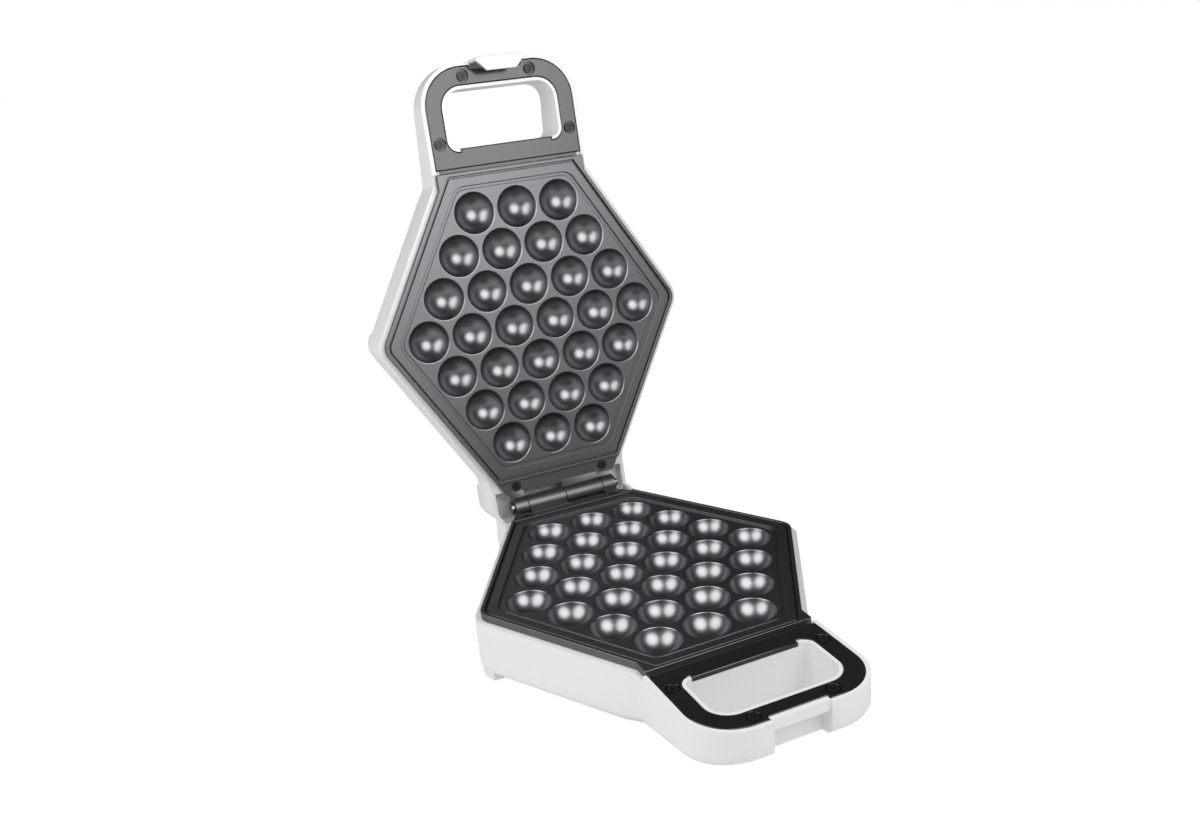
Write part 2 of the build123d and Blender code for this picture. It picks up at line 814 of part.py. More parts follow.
def lamp_holder():
    """Bridge on two posts, with a hole for each lamp."""
    half = lamp_spacing / 2 + holder_margin
    y_range = (lamp_y - holder_depth / 2, lamp_y + holder_depth / 2)
    bottom = lamp_bottom_z() + lamp_gap
    body = block((-half, half), y_range, (bottom, bottom + holder_height))
    for x0, x1 in ((-half, -half + holder_post / 2), (half - holder_post / 2, half)):
        body += block((x0, x1), y_range, (floor_z + wall, bottom))
    for x in lamp_places():
        body -= post((x, lamp_y), lamp_radius + screw_clearance, bottom, bottom + holder_height)
    return body


def cord_gland():
    """Blind bushing in the base's rear wall, where the mains cord would enter."""
    axis = Pos(gland_x, 0, gland_z) * Rot(-90, 0, 0)
    inside = shell_rear - wall - gland_nut_thickness
    outside = shell_rear + gland_flange_thickness

    def ring(radius, start, end):
        return axis * Pos(0, 0, (start + end) / 2) * Cylinder(radius, end - start)

    gland = ring(gland_radius - screw_clearance, inside, outside)
    gland += ring(gland_flange_radius, shell_rear, outside)
    gland += ring(gland_flange_radius, inside, shell_rear - wall)
    return gland - ring(gland_bore_radius, outside - gland_bore_depth, outside)


def thermostat():
    place = (0, element_flat + element_radius)
    body = post(place, thermostat_radius, slab_z - thermostat_height, slab_z)
    body += post(place, thermostat_radius / 2, slab_z - 1.5 * thermostat_height, slab_z)
    return body


def thermal_fuse():
    """Fuse cartridge under the plate's rear edge, held by its strap."""
    half = fuse_length / 2
    y = element_flat
    z = slab_z - fuse_radius
    strap_half = fuse_radius + strap_thickness
    fuse = rod_x(fuse_radius, (-half, half), y, z)
    strap_x = (-strap_width / 2, strap_width / 2)
    strap_bottom = slab_z - 2 * fuse_radius - strap_thickness
    strap = block(strap_x, (y - strap_half, y + strap_half), (strap_bottom, slab_z))
    return fuse + strap


def terminal_block():
    y = shell_rear - rear_foot_length - block_length
    block_x = (gland_x - block_length / 2, gland_x + block_length / 2)
    block_y = (y - block_width / 2, y + block_width / 2)
    bottom = floor_z + wall
    body = block(block_x, block_y, (bottom, bottom + block_height))
    for step in (-1, 0, 1):
        place = (gland_x + step * block_screw_pitch, y)
        body -= post(place, screw_head_radius, bottom + block_height / 2, bottom + block_height)
    return body


def foot_pads():
    bottom = floor_z - foot_height
    return [post(place, pad_radius, bottom, bottom + pad_thickness) for place in foot_pad_places()]


# Placing and writing
def swing_open(piece):
    """Swing a piece of the closed lid to where the lid rests open."""
    return Pos(0, hinge_y, mid_z) * Rot(-lid_open_angle, 0, 0) * Pos(0, -hinge_y, -mid_z) * piece


def on_lid(piece):
    """Turn a piece over onto the closed lid, then swing it open."""
    return swing_open(Pos(0, 0, mid_z) * Rot(0, 180, 0) * Pos(0, 0, -mid_z) * piece)


def write(name, piece):
    pieces = piece if isinstance(piece, list) else [piece]
    solids = [solid for one in pieces for solid in one.solids()]
    whole = solids[0] if len(solids) == 1 else Compound(children=solids)
    export_step(whole, os.path.join("parts", name + ".step"))


def write_both(lower_name, upper_name, piece):
    """Write a piece that both halves have."""
    pieces = piece if isinstance(piece, list) else [piece]
    write(lower_name, pieces)
    write(upper_name, [on_lid(one) for one in pieces])


write("base_shell", base_shell())
write("lid_shell", on_lid(lid_shell()))
write_both("base_handle_trim", "lid_handle_trim", handle_trim())
write_both("base_trim_screws", "lid_trim_screws", trim_screws())
write("lower_plate", plate_with_hinge(base_bore_clearance))
write("upper_plate", on_lid(plate_with_hinge(lid_bore_clearance)))
write_both("lower_plate_screws", "upper_plate_screws", plate_screws())
write_both("lower_heating_element", "upper_heating_element", heating_element())
write_both("lower_element_terminals", "upper_element_terminals", element_terminals())
write_both("lower_element_clamps", "upper_element_clamps", element_clamps())
write_both("lower_heat_shield", "upper_heat_shield", heat_shield())
write_both("lower_shield_screws", "upper_shield_screws", shield_screws())
write("foot_pads", foot_pads())
write("hinge_pin", hinge_pin())
write("hinge_pin_clip", hinge_pin_clip())
write("cord_gland", cord_gland())
write("terminal_block", terminal_block())
write("thermal_fuse", thermal_fuse())
write("thermostat", on_lid(thermostat()))
write("power_lamp_lens", on_lid(lamp_lens(lamp_places()[0])))
write("ready_lamp_lens", on_lid(lamp_lens(lamp_places()[1])))
write("indicator_lamps", [on_lid(lamp) for lamp in indicator_lamps()])
write("lamp_holder", on_lid(lamp_holder()))
write("latch_pin", swing_open(latch_pin()))
write("latch", swing_open(latch()))
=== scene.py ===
import bpy
import bmesh
import math
import numpy as np
from mathutils import Matrix, Vector


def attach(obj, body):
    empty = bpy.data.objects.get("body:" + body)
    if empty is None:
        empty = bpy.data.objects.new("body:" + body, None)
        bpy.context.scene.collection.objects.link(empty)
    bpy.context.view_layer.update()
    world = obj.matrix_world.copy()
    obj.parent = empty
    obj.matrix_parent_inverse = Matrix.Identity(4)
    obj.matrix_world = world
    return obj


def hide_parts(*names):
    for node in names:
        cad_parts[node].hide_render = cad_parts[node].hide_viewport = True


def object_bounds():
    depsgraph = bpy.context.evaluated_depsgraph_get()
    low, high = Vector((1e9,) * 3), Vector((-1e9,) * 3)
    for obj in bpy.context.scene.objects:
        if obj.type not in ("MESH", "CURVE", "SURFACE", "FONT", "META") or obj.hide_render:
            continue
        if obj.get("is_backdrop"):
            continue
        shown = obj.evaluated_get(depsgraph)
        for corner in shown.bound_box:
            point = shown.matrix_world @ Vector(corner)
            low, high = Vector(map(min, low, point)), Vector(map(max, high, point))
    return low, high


# Bubble waffle maker, open on its hinge: white shells, dark cast plates, glossy black handle trims.
# Metres; the origin is under the middle of the lower plate, -Y is the handle side, +Y the hinge side.

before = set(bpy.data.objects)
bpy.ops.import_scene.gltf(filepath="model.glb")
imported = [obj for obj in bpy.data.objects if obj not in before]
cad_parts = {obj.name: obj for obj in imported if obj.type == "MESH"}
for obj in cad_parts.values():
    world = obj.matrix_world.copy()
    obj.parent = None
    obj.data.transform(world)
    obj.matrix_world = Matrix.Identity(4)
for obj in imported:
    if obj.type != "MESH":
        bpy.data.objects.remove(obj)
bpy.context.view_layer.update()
print("frame loaded", len(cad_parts), "nodes")

mm = 0.001
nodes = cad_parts


# camera
cameraLook = {
    "place": (-0.27277, -0.59088, 0.38378),
    "azimuth": 23.15,      # degrees right of +Y
    "elevation": 20.47,    # degrees below the horizon
    "roll": -4.68,         # degrees about the line of sight
    "focalPixels": 1197.8,
    "frameWidth": 1200,
    "sensor": 36.0,
    "clip": (0.01, 50),
}


def makeCamera(look):
    data = bpy.data.cameras.new("camera")
    data.sensor_width = look["sensor"]
    data.lens = look["focalPixels"] * look["sensor"] / look["frameWidth"]
    data.clip_start, data.clip_end = look["clip"]
    camera = bpy.data.objects.new("camera", data)
    bpy.context.scene.collection.objects.link(camera)
    az, el = math.radians(look["azimuth"]), math.radians(look["elevation"])
    forward = Vector((math.sin(az) * math.cos(el), math.cos(az) * math.cos(el), -math.sin(el)))
    turn = forward.to_track_quat("-Z", "Y").to_matrix().to_4x4()
    roll = Matrix.Rotation(math.radians(look["roll"]), 4, "Z")
    camera.matrix_world = Matrix.Translation(look["place"]) @ turn @ roll
    bpy.context.scene.camera = camera
    return camera


# studio: two round soft lamps, a larger panel by each for the reflections, and a pale surround
studioLook = {
    "floorDrop": 0.0004,
    "floorSize": 6.0,
    "floorColor": 0.86,
    "floorGlow": 1.1,
    "floorGlowShare": 0.85,  # the rest keeps the object's shadow on the paper
    "surroundColor": (1, 1, 1, 1),
    "seenLevel": 1.0,        # the surround as the camera sees it
    "worldLevel": 0.48,      # the surround as it lights dull surfaces
    "mirroredLevel": 0.06,   # the surround as glossy surfaces mirror it
    # lamps light dull surfaces only, panels show in glossy surfaces only
    "lamps": {
        "frontLamp": {"place": (0.160, -0.373, 0.450), "size": 0.42, "power": 1.28, "mirrored": False},
        "sideLamp": {"place": (-0.622, -0.067, 0.528), "size": 0.58, "power": 2.5, "mirrored": False},
        "frontPanel": {"place": (0.080, -0.385, 0.420), "size": 0.50, "power": 3.2, "mirrored": True},
        "sidePanel": {"place": (-0.600, -0.090, 0.510), "size": 0.74, "power": 6.4, "mirrored": True},
    },
    "aim": (0.0, 0.06, 0.12),
}


def makeStudio(look):
    scene = bpy.context.scene
    scene.view_settings.view_transform = "Standard"
    world = bpy.data.worlds.new("surround")
    scene.world = world
    world.use_nodes = True
    tree = world.node_tree
    tree.nodes.clear()
    out = tree.nodes.new("ShaderNodeOutputWorld")
    seen = tree.nodes.new("ShaderNodeBackground")
    seen.inputs["Color"].default_value = look["surroundColor"]
    seen.inputs["Strength"].default_value = look["seenLevel"]
    lit = tree.nodes.new("ShaderNodeBackground")
    lit.inputs["Color"].default_value = look["surroundColor"]
    path = tree.nodes.new("ShaderNodeLightPath")
    level = tree.nodes.new("ShaderNodeMix")
    level.inputs["A"].default_value = look["worldLevel"]
    level.inputs["B"].default_value = look["mirroredLevel"]
    tree.links.new(path.outputs["Is Glossy Ray"], level.inputs["Factor"])
    tree.links.new(level.outputs["Result"], lit.inputs["Strength"])
    mix = tree.nodes.new("ShaderNodeMixShader")
    tree.links.new(path.outputs["Is Camera Ray"], mix.inputs["Fac"])
    tree.links.new(lit.outputs[0], mix.inputs[1])
    tree.links.new(seen.outputs[0], mix.inputs[2])
    tree.links.new(mix.outputs[0], out.inputs["Surface"])
    for name, lamp in look["lamps"].items():
        data = bpy.data.lights.new(name, "AREA")
        data.shape = "DISK"
        data.size = lamp["size"]
        data.energy = lamp["power"]
        lampObject = bpy.data.objects.new(name, data)
        scene.collection.objects.link(lampObject)
        lampObject.location = lamp["place"]
        away = Vector(look["aim"]) - Vector(lamp["place"])
        lampObject.rotation_euler = away.to_track_quat("-Z", "Y").to_euler()
        lampObject.visible_camera = False
        lampObject.visible_diffuse = not lamp["mirrored"]
        lampObject.visible_glossy = lamp["mirrored"]
    return world


def makeFloor(look):
    size = look["floorSize"]
    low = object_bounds()[0][2] - look["floorDrop"]
    mesh = bpy.data.meshes.new("floor")
    corners = [(-size, -size, low), (size, -size, low), (size, size, low), (-size, size, low)]
    mesh.from_pydata(corners, [], [(0, 1, 2, 3)])
    floor = bpy.data.objects.new("floor", mesh)
    bpy.context.scene.collection.objects.link(floor)
    material = bpy.data.materials.new("floorPaper")
    material.use_nodes = True
    tree = material.node_tree
    tree.nodes.clear()
    out = tree.nodes.new("ShaderNodeOutputMaterial")
    paper = tree.nodes.new("ShaderNodeBsdfDiffuse")
    paper.inputs["Color"].default_value = (look["floorColor"],) * 3 + (1,)
    glow = tree.nodes.new("ShaderNodeEmission")
    glow.inputs["Strength"].default_value = look["floorGlow"]
    path = tree.nodes.new("ShaderNodeLightPath")
    mix = tree.nodes.new("ShaderNodeMixShader")
    share = tree.nodes.new("ShaderNodeMath")
    share.operation = "MULTIPLY"
    share.inputs[1].default_value = look["floorGlowShare"]
    tree.links.new(path.outputs["Is Camera Ray"], share.inputs[0])
    tree.links.new(share.outputs[0], mix.inputs["Fac"])
    tree.links.new(paper.outputs[0], mix.inputs[1])
    tree.links.new(glow.outputs[0], mix.inputs[2])
    tree.links.new(mix.outputs[0], out.inputs["Surface"])
    mesh.materials.append(material)
    floor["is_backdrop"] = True
    return floor


# shader node groups
def newGroup(name, inputs, outputs):
    group = bpy.data.node_groups.new(name, "ShaderNodeTree")
    for socket, kind, value in inputs:
        made = group.interface.new_socket(socket, in_out="INPUT", socket_type=kind)
        made.default_value = value
    for socket, kind in outputs:
        group.interface.new_socket(socket, in_out="OUTPUT", socket_type=kind)
    start = group.nodes.new("NodeGroupInput")
    end = group.nodes.new("NodeGroupOutput")
    return group, start, end


grainLook = {"scale": 900.0, "coarse": 60.0, "share": 0.3, "fineDetail": 3.0, "cloudDetail": 4.0}


# grain on Object coordinates: two noises of different scale, mixed into one value from 0 to 1
def makeGrainGroup(look):
    group, start, end = newGroup(
        "fineGrain",
        [
            ("Scale", "NodeSocketFloat", look["scale"]), ("Coarse", "NodeSocketFloat", look["coarse"]),
            ("Share", "NodeSocketFloat", look["share"]),
        ],
        [("Grain", "NodeSocketFloat"), ("Cloud", "NodeSocketFloat")],
    )
    where = group.nodes.new("ShaderNodeTexCoord")
    fine = group.nodes.new("ShaderNodeTexNoise")
    fine.inputs["Detail"].default_value = look["fineDetail"]
    cloud = group.nodes.new("ShaderNodeTexNoise")
    cloud.inputs["Detail"].default_value = look["cloudDetail"]
    mix = group.nodes.new("ShaderNodeMix")
    mix.data_type = "FLOAT"
    links = group.links
    links.new(where.outputs["Object"], fine.inputs["Vector"])
    links.new(where.outputs["Object"], cloud.inputs["Vector"])
    links.new(start.outputs["Scale"], fine.inputs["Scale"])
    links.new(start.outputs["Coarse"], cloud.inputs["Scale"])
    links.new(start.outputs["Share"], mix.inputs["Factor"])
    links.new(fine.outputs["Fac"], mix.inputs["A"])
    links.new(cloud.outputs["Fac"], mix.inputs["B"])
    links.new(mix.outputs["Result"], end.inputs["Grain"])
    links.new(cloud.outputs["Fac"], end.inputs["Cloud"])
    return group


grainGroup = makeGrainGroup(grainLook)

finishes = {
    "whitePlastic": {
        "color": (0.84, 0.838, 0.838), "vary": 0.012, "rough": 0.32, "roughVary": 0.06,
        "metal": 0.0, "grain": 1400.0, "bump": 0.02, "coat": 0.0,
    },
    "blackTrim": {
        "color": (0.011, 0.011, 0.012), "vary": 0.004, "rough": 0.2, "roughVary": 0.04,
        "metal": 0.0, "grain": 900.0, "bump": 0.01, "coat": 0.0, "ior": 1.55,
    },
    "platedCoating": {
        "color": (0.186, 0.190, 0.196), "vary": 0.012, "rough": 0.44, "roughVary": 0.03,
        # the flats' colour is scaled down by this share: painted shade that dims the reflections on them
        "polished": 0.31, "flatPaintedShade": 0.72,
        "metal": 1.0, "grain": 2600.0, "bump": 0.06, "coat": 0.0,
    },
    "brightSteel": {
        "color": (0.55, 0.55, 0.56), "vary": 0.05, "rough": 0.26, "roughVary": 0.08,
        "metal": 1.0, "grain": 1600.0, "bump": 0.02, "coat": 0.0,
    },
    "blackSteel": {
        "color": (0.012, 0.012, 0.013), "vary": 0.004, "rough": 0.36, "roughVary": 0.05,
        "metal": 0.0, "grain": 1600.0, "bump": 0.02, "coat": 0.0, "ior": 1.37,
    },
    "darkSteel": {
        "color": (0.20, 0.20, 0.205), "vary": 0.03, "rough": 0.30, "roughVary": 0.06,
        "metal": 1.0, "grain": 1600.0, "bump": 0.02, "coat": 0.0,
    },
    "heatedSheath": {
        "color": (0.20, 0.18, 0.165), "vary": 0.06, "rough": 0.5, "roughVary": 0.12,
        "metal": 1.0, "grain": 700.0, "bump": 0.05, "coat": 0.0,
    },
    "sheetMetal": {
        "color": (0.72, 0.72, 0.73), "vary": 0.05, "rough": 0.34, "roughVary": 0.1,
        "metal": 1.0, "grain": 500.0, "bump": 0.02, "coat": 0.0,
    },
    "rubberPad": {
        "color": (0.10, 0.10, 0.10), "vary": 0.02, "rough": 0.8, "roughVary": 0.08,
        "metal": 0.0, "grain": 1200.0, "bump": 0.08, "coat": 0.0,
    },
    "greyMoulding": {
        "color": (0.42, 0.42, 0.41), "vary": 0.02, "rough": 0.5, "roughVary": 0.08,
        "metal": 0.0, "grain": 1200.0, "bump": 0.04, "coat": 0.0,
    },
    "phenolicBody": {
        "color": (0.09, 0.065, 0.05), "vary": 0.02, "rough": 0.55, "roughVary": 0.1,
        "metal": 0.0, "grain": 800.0, "bump": 0.05, "coat": 0.0,
    },
    "redLens": {
        "color": (0.62, 0.03, 0.02), "vary": 0.02, "rough": 0.15, "roughVary": 0.04,
        "metal": 0.0, "grain": 600.0, "bump": 0.01, "coat": 0.5,
    },
    "greenLens": {
        "color": (0.03, 0.42, 0.10), "vary": 0.02, "rough": 0.15, "roughVary": 0.04,
        "metal": 0.0, "grain": 600.0, "bump": 0.01, "coat": 0.5,
    },
    "lampGlass": {
        "color": (0.80, 0.62, 0.45), "vary": 0.02, "rough": 0.12, "roughVary": 0.03,
        "metal": 0.0, "grain": 600.0, "bump": 0.01, "coat": 0.2,
    },
}

# shared by all finishes; the distance is in metres
coatRoughness, plainIor, bumpDistance = 0.08, 1.5, 0.0004


# color and rough vary both ways with the grain; a finish with "polished" has a second, smoother roughness
def makeFinish(name, look):
    material = bpy.data.materials.new(name)
    material.use_nodes = True
    tree = material.node_tree
    shader = tree.nodes["Principled BSDF"]
    shader.inputs["Metallic"].default_value = look["metal"]
    shader.inputs["Coat Weight"].default_value = look["coat"]
    shader.inputs["Coat Roughness"].default_value = coatRoughness
    shader.inputs["IOR"].default_value = look.get("ior", plainIor)
    grain = tree.nodes.new("ShaderNodeGroup")
    grain.node_tree = grainGroup
    grain.inputs["Scale"].default_value = look["grain"]
    shade = tree.nodes.new("ShaderNodeMix")
    shade.data_type = "RGBA"
    color = look["color"]
    shade.inputs["A"].default_value = tuple(max(c - look["vary"], 0.0) for c in color) + (1,)
    shade.inputs["B"].default_value = tuple(c + look["vary"] for c in color) + (1,)
    rough = tree.nodes.new("ShaderNodeMapRange")
    rough.inputs["To Min"].default_value = look["rough"] - look["roughVary"]
    rough.inputs["To Max"].default_value = look["rough"] + look["roughVary"]
    bump = tree.nodes.new("ShaderNodeBump")
    bump.inputs["Strength"].default_value = look["bump"]
    bump.inputs["Distance"].default_value = bumpDistance
    tree.links.new(grain.outputs["Grain"], shade.inputs["Factor"])
    tree.links.new(shade.outputs["Result"], shader.inputs["Base Color"])
    tree.links.new(grain.outputs["Cloud"], rough.inputs["Value"])
    if "polished" in look:
        # cups are smoother than the flats: their faces carry the polish value 1; the flats' colour is also
        # darkened, painted shade that dims the reflections they show
        polish = tree.nodes.new("ShaderNodeAttribute")
        polish.attribute_name = "polish"
        blend = tree.nodes.new("ShaderNodeMix")
        blend.inputs["B"].default_value = look["polished"]
        tree.links.new(polish.outputs["Fac"], blend.inputs["Factor"])
        tree.links.new(rough.outputs["Result"], blend.inputs["A"])
        tree.links.new(blend.outputs["Result"], shader.inputs["Roughness"])
        # painted shade: faces without polish get their colour scaled down by the flats' share
        flatShadeRange = tree.nodes.new("ShaderNodeMapRange")
        flatShadeRange.inputs["To Min"].default_value = look["flatPaintedShade"]
        paintFlatShade = tree.nodes.new("ShaderNodeHueSaturation")
        tree.links.new(polish.outputs["Fac"], flatShadeRange.inputs["Value"])
        tree.links.new(flatShadeRange.outputs["Result"], paintFlatShade.inputs["Value"])
        tree.links.new(shade.outputs["Result"], paintFlatShade.inputs["Color"])
        tree.links.new(paintFlatShade.outputs["Color"], shader.inputs["Base Color"])
    else:
        tree.links.new(rough.outputs["Result"], shader.inputs["Roughness"])
    tree.links.new(grain.outputs["Grain"], bump.inputs["Height"])
    tree.links.new(bump.outputs["Normal"], shader.inputs["Normal"])
    return material


materials = {name: makeFinish(name, look) for name, look in finishes.items()}

nodeFinish = {
    "base_shell": "whitePlastic", "lid_shell": "whitePlastic", "latch": "whitePlastic",
    "base_handle_trim": "blackTrim", "lid_handle_trim": "blackTrim",
    "base_trim_screws": "blackSteel", "lid_trim_screws": "blackSteel",
    "lower_plate": "platedCoating", "upper_plate": "platedCoating",
    "lower_plate_screws": "blackSteel", "upper_plate_screws": "blackSteel",
    "lower_heating_element": "heatedSheath", "upper_heating_element": "heatedSheath",
    "lower_element_terminals": "brightSteel", "upper_element_terminals": "brightSteel",
    "lower_element_clamps": "brightSteel", "upper_element_clamps": "brightSteel",
    "lower_heat_shield": "sheetMetal", "upper_heat_shield": "sheetMetal",
    "lower_shield_screws": "brightSteel", "upper_shield_screws": "brightSteel",
    "foot_pads": "rubberPad", "hinge_pin": "darkSteel", "hinge_pin_clip": "darkSteel",
    "cord_gland": "greyMoulding", "terminal_block": "greyMoulding", "lamp_holder": "greyMoulding",
    "thermal_fuse": "brightSteel", "thermostat": "phenolicBody", "power_lamp_lens": "redLens",
    "ready_lamp_lens": "greenLens", "indicator_lamps": "lampGlass", "latch_pin": "brightSteel",
}


def paint(piece, finish):
    piece.data.materials.clear()
    piece.data.materials.append(materials[finish])


for nodeName, finish in nodeFinish.items():
    paint(nodes[nodeName], finish)
print("finishes made")


# what every visible piece needs: smooth faces with sharp edges over an angle, a finish and its body
def showPiece(name, mesh, sharp, finish, body, node):
    mesh.polygons.foreach_set("use_smooth", [True] * len(mesh.polygons))
    mesh.set_sharp_from_angle(angle=math.radians(sharp))
    piece = bpy.data.objects.new(name, mesh)
    bpy.context.scene.collection.objects.link(piece)
    paint(piece, finish)
    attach(piece, body)
    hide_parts(node)
    return piece


bevelSegments = 2


# width in millimetres; edges sharper than the angle get it
def bevelEdges(piece, width, angle):
    bevel = piece.modifiers.new("edges", "BEVEL")
    bevel.width = width * mm
    bevel.segments = bevelSegments
    bevel.limit_method = "ANGLE"
    bevel.angle_limit = math.radians(angle)
    bevel.harden_normals = True


# visible mouldings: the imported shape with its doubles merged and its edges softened
softened = {
    "base_shell": {"body": "base", "slot": "white_plastic", "edge": 0.5, "angle": 35},
    "lid_shell": {"body": "lid", "slot": "white_plastic", "edge": 0.5, "angle": 35},
    "latch": {"body": "latch", "slot": "white_plastic", "edge": 0.5, "angle": 35},
}

# metres, and the angle under which two faces count as one flat
mergeDistance, cutTolerance, levelTolerance = 1e-6, 1e-7, 1e-4
flatAngle = math.radians(0.6)


def softenNode(nodeName, look):
    mesh = nodes[nodeName].data.copy()
    work = bmesh.new()
    work.from_mesh(mesh)
    bmesh.ops.remove_doubles(work, verts=work.verts, dist=mergeDistance)
    bmesh.ops.dissolve_limit(
        work, angle_limit=flatAngle, verts=work.verts, edges=work.edges, use_dissolve_boundaries=False
    )
    work.to_mesh(mesh)
    work.free()
    piece = showPiece(
        nodeName + "_moulding", mesh, look["angle"], nodeFinish[nodeName],
        look["body"], nodeName,
    )
    bevelEdges(piece, look["edge"], look["angle"])
    return piece


for nodeName, look in softened.items():
    softenNode(nodeName, look)
print("mouldings softened")


# plate castings, millimetres: the lower one as it lies, the upper one turned over and swung open
castingLook = {
    "cupPitch": 30.0, "rimRadius": 13.6, "cupDepth": 10.5, "cupWall": 3.0, "rimRound": 0.8,
    "rows": (3, 4, 5, 6, 5, 4, 3),
    "fieldHeight": 38.0, "beadDepth": 0.6, "plateauHeight": 1.0, "grooveDepth": 2.0, "lipHeight": 1.8,
    "fieldOut": 2.1, "beadOut": 4.3, "plateauOut": 9.9, "grooveOut": 11.3, "lipOut": 13.45,
    "seatHeight": 35.2, "slabHeight": 32.0, "slabInset": 2.6, "bandMargin": 0.6,
    "fieldCorner": 7.8, "sideCorner": 11.0, "cornerBlend": 0.7, "plateauTighter": 4.25, "tightCorner": 0.02,
    "earHalfWidth": 51.5, "earCorner": 1.5, "earTightest": 0.1, "earDepth": 1.0,
    "beadSlope": 0.15, "grooveSlope": 0.1, "edgeRound": 0.3,
    # of edgeRound, for each corner of the bands' section
    "edgeShares": (0, 0.8, 0.6, 0.6, 1, 1, 0.6, 0.6, 1, 1.3, 1, 0),
    "cornerSteps": 14, "edgeSteps": 5, "rimSteps": 6,
    "cupSpokes": 60, "cupRings": 16, "domeSpokes": 36, "domeRings": 8,
    "sharp": 50, "hingeSharp": 35, "hingeEdge": 0.25, "finish": "platedCoating", "slot": "coated_aluminium",
}
lidLook = {"hingeY": 122.992, "hingeZ": 40.0, "openAngle": 99.6}
cos30, sin30 = math.cos(math.radians(30)), 0.5


# turned over about the Y axis at the hinge's height, then swung back about the hinge
def liftToLid(points):
    x, y, z = -points[:, 0], points[:, 1] - lidLook["hingeY"], lidLook["hingeZ"] - points[:, 2]
    turn = -math.radians(lidLook["openAngle"])
    lifted = np.empty_like(points)
    lifted[:, 0] = x
    lifted[:, 1] = lidLook["hingeY"] + y * math.cos(turn) - z * math.sin(turn)
    lifted[:, 2] = lidLook["hingeZ"] + y * math.sin(turn) + z * math.cos(turn)
    return lifted


# a path with rounded corners: each corner is an arc, tangent to its two straight runs, of so many points
def roundedPath(corners, radii, counts, closed=True):
    corners = np.asarray(corners, float)
    pieces = []
    for i, (radius, count) in enumerate(zip(radii, counts)):
        here = corners[i]
        if not closed and i in (0, len(corners) - 1):
            pieces.append(here[None])
            continue
        toBack = corners[i - 1] - here
        toNext = corners[(i + 1) % len(corners)] - here
        toBack /= np.linalg.norm(toBack)
        toNext /= np.linalg.norm(toNext)
        half = 0.5 * math.acos(max(-1.0, min(1.0, float(toBack @ toNext))))
        middle = toBack + toNext
        middle /= np.linalg.norm(middle)
        centre = here + middle * radius / math.sin(half)
        start = here + toBack * radius / math.tan(half) - centre
        end = here + toNext * radius / math.tan(half) - centre
        share = np.linspace(0, 1, count)[:, None]
        sweep = math.pi - 2 * half
        arc = (np.sin((1 - share) * sweep) * start + np.sin(share * sweep) * end) / math.sin(sweep)
        pieces.append(centre + arc)
    return np.concatenate(pieces)


# outline of the casting a given distance outside the cup rims: a hexagon with its corners rounded,
# and at the outer edge the two square ears beside the handle
def castingLoop(look, out, ears):
    steps = look["cornerSteps"]
    halfRows = len(look["rows"]) // 2
    slant = (max(look["rows"]) - 1) / 2 * look["cupPitch"] * cos30 + look["rimRadius"] + out
    flat = halfRows * look["cupPitch"] * cos30 + look["rimRadius"] + out
    endX, sideX = (slant - flat * sin30) / cos30, slant / cos30
    blend, tight = look["cornerBlend"], look["tightCorner"]
    field, side = look["fieldCorner"], look["sideCorner"]
    bands = (
        look["fieldOut"], look["beadOut"], look["beadOut"] + blend, look["plateauOut"] - blend, look["lipOut"]
    )
    bead = field + look["beadOut"] - look["fieldOut"]
    sideRadius = np.interp(out, bands, (field, bead, bead + blend, side - look["plateauTighter"], side))
    endRadius = np.interp(out, bands, (field, bead, bead + blend, tight, tight))
    right = [(endX, -flat), (sideX, 0), (endX, flat)]
    radii = [endRadius, sideRadius, endRadius]
    counts = [steps, steps, steps]
    if ears:
        inset = look["lipOut"] - out
        earX = look["earHalfWidth"] - inset
        right = [(earX, -flat), (earX, -(slant - earX * cos30) / sin30)] + right[1:]
        radii = [max(look["earCorner"] - inset, look["earTightest"])] * 2 + radii[1:]
        counts = [steps // 2, steps // 2] + counts[1:]
    left = [(-x, y) for x, y in reversed(right)]
    return roundedPath(right + left, radii + radii[::-1], counts + counts[::-1])


# section through the bands, from the field's edge outwards and down to the slab: distance out and height
def bandSection(look):
    field = look["fieldHeight"]
    plateau = field + look["plateauHeight"]
    bead, groove = field - look["beadDepth"], plateau - look["grooveDepth"]
    lip, seat = field + look["lipHeight"], look["seatHeight"]
    beadSlope, grooveSlope, margin = look["beadSlope"], look["grooveSlope"], look["bandMargin"]
    corners = [
        (look["fieldOut"] - margin, field), (look["fieldOut"], field), (look["fieldOut"] + beadSlope, bead),
        (look["beadOut"] - beadSlope, bead), (look["beadOut"], plateau),
        (look["plateauOut"], plateau), (look["plateauOut"] + grooveSlope, groove),
        (look["grooveOut"] - grooveSlope, groove), (look["grooveOut"], lip),
        (look["lipOut"], lip), (look["lipOut"], seat), (look["lipOut"] - look["slabInset"] + margin, seat),
    ]
    radii = [look["edgeRound"] * share for share in look["edgeShares"]]
    return roundedPath(corners, radii, [look["edgeSteps"]] * len(corners), closed=False)


# points this far beside a rounding keep the walls and flats next to it shading flat
wallGap, flatGap = 0.06, 0.08


# every long run of the section gets a point just beside each end, sorted in between the two ends
def withSupports(section):
    runs = np.diff(section, axis=0)
    lengths = np.linalg.norm(runs, axis=1)
    long = np.nonzero(lengths > 4 * wallGap)[0]
    ahead = section[long] + runs[long] / lengths[long, None] * wallGap
    behind = section[long + 1] - runs[long] / lengths[long, None] * wallGap
    places = np.concatenate([np.arange(len(section)), long + 0.3, long + 0.6])
    return np.concatenate([section, ahead, behind])[np.argsort(places, kind="stable")]


# faces of a grid of rings, each ring closed on itself
def ringFaces(rings, count, start=0):
    row, column = np.meshgrid(np.arange(rings - 1), np.arange(count), indexing="ij")
    beside = (column + 1) % count
    quads = np.stack([
        row * count + column, row * count + beside, (row + 1) * count + beside, (row + 1) * count + column
    ], axis=-1)
    return quads.reshape(-1, 4) + start


